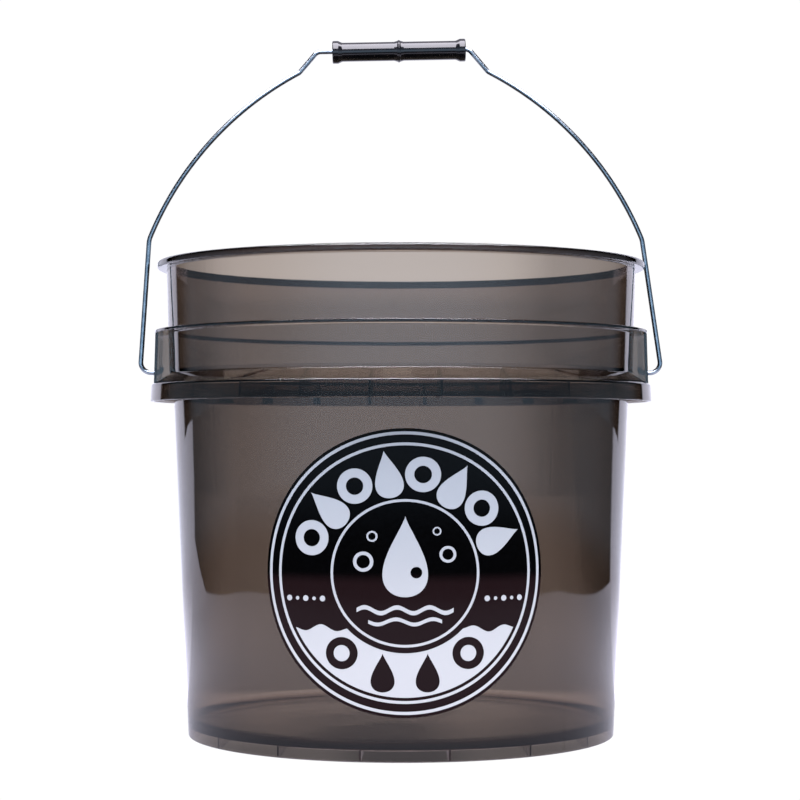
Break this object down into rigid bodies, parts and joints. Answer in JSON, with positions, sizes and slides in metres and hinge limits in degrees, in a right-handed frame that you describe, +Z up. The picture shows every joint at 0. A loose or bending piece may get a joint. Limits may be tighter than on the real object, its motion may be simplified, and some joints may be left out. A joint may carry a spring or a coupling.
{
  "type": "wash bucket",
  "caption": "Clear smoke-grey round bucket with ribbed collar, swinging wire bail, turning hand grip and a round front label.",
  "frame": {"origin": "on the bucket's axis, on the ground plane under the foot ring", "axes": "+Z up along the bucket's axis, +X through the right-hand bail ear, -Y out of the label"},
  "size_m": [0.3275, 0.3108, 0.4336],
  "materials": {
    "clear_smoke_plastic": "clear smoke tint, polished",
    "zinc_plated_steel": "bright zinc plate over drawn wire",
    "black_gloss_plastic": "gloss",
    "printed_vinyl": "gloss print film"
  },
  "bodies": {
    "bucket": {"bucket_shell": "clear_smoke_plastic", "label": "printed_vinyl"},
    "bail": {"bail_wire": "zinc_plated_steel"},
    "grip": {"grip": "black_gloss_plastic"}
  },
  "joints": [
    {"name": "bail_hinge", "type": "hinge", "parent": "bucket", "child": "bail", "pos_m": [0, 0, 0.224], "axis": [1, 0, 0], "range_deg": [-134, 134]},
    {"name": "grip_spin", "type": "hinge", "parent": "bail", "child": "grip", "pos_m": [-0.0013, 0, 0.42563], "axis": [0.9998, 0, 0.021], "continuous": true}
  ]
}
